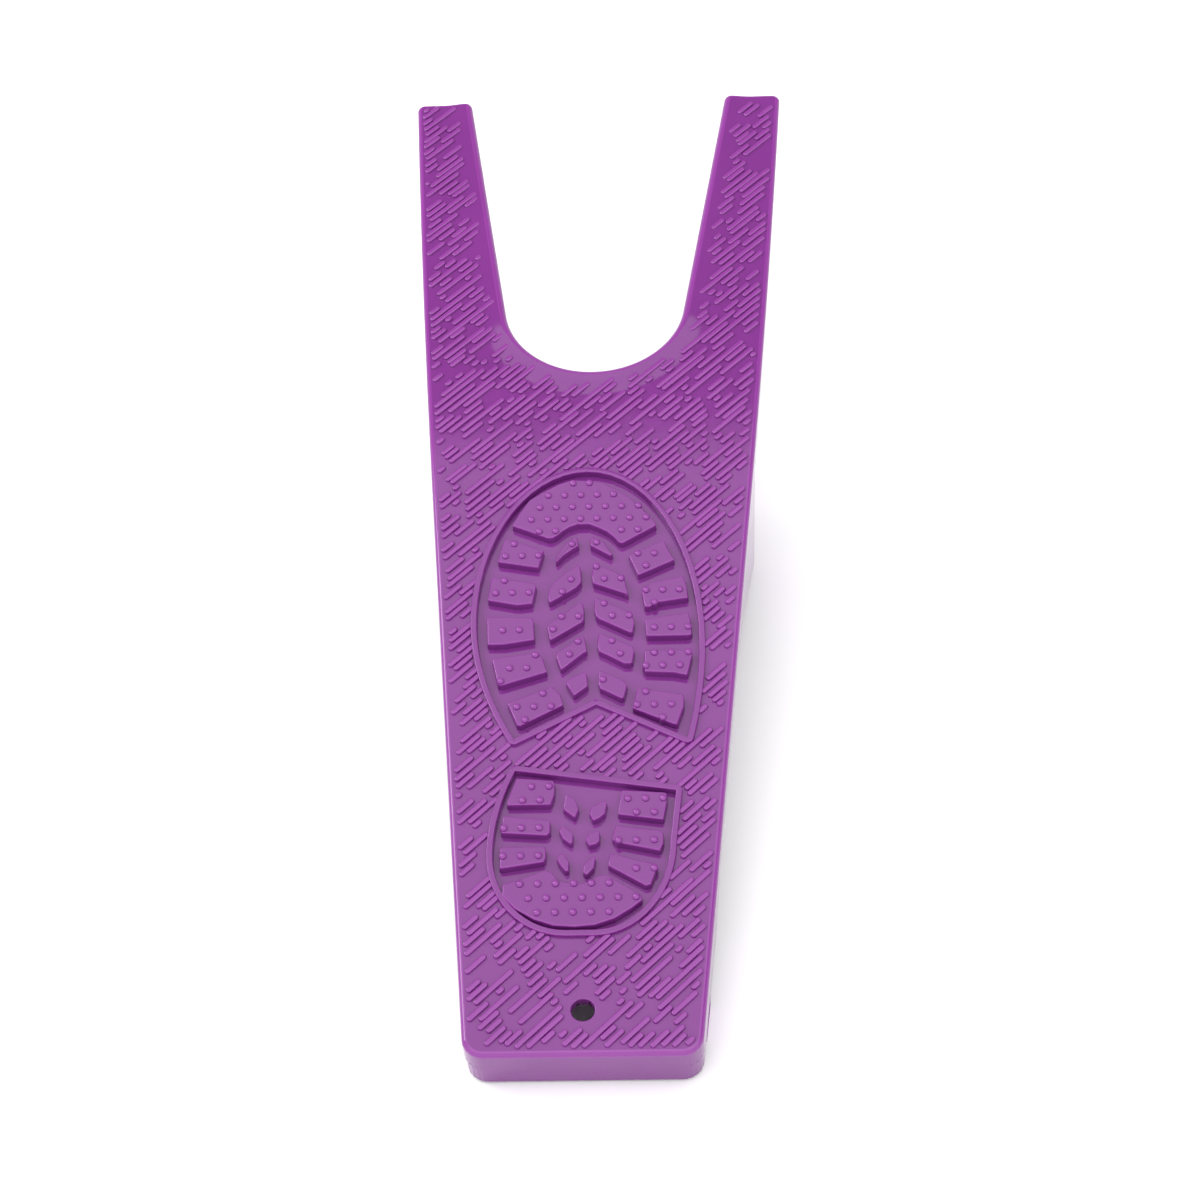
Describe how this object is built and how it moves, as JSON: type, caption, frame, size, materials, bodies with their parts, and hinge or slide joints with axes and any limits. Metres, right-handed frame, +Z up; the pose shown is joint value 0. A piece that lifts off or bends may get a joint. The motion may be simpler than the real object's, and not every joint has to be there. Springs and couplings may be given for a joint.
{
  "type": "boot jack",
  "caption": "Tilted moulded board with a forked mouth that grips a boot's heel, standing on a leg, with sole-print treads underfoot.",
  "frame": {"origin": "centre of the footprint on the floor, below the middle of the bounding box", "axes": "+X across the board, +Y from the tail towards the forked mouth, +Z up"},
  "size_m": [0.124, 0.3524, 0.0832],
  "materials": {
    "moulding": "satin moulded plastic, violet",
    "pads": "matt rubber, dark violet",
    "screws": "plain zinc-plated steel"
  },
  "bodies": {
    "root": {"tread_board": "moulding", "base_frame": "moulding", "support_leg": "moulding", "leg_pad_left": "pads", "leg_pad_right": "pads", "tail_pad_left": "pads", "tail_pad_right": "pads", "frame_screws": "screws", "leg_screws": "screws"}
  },
  "joints": []
}
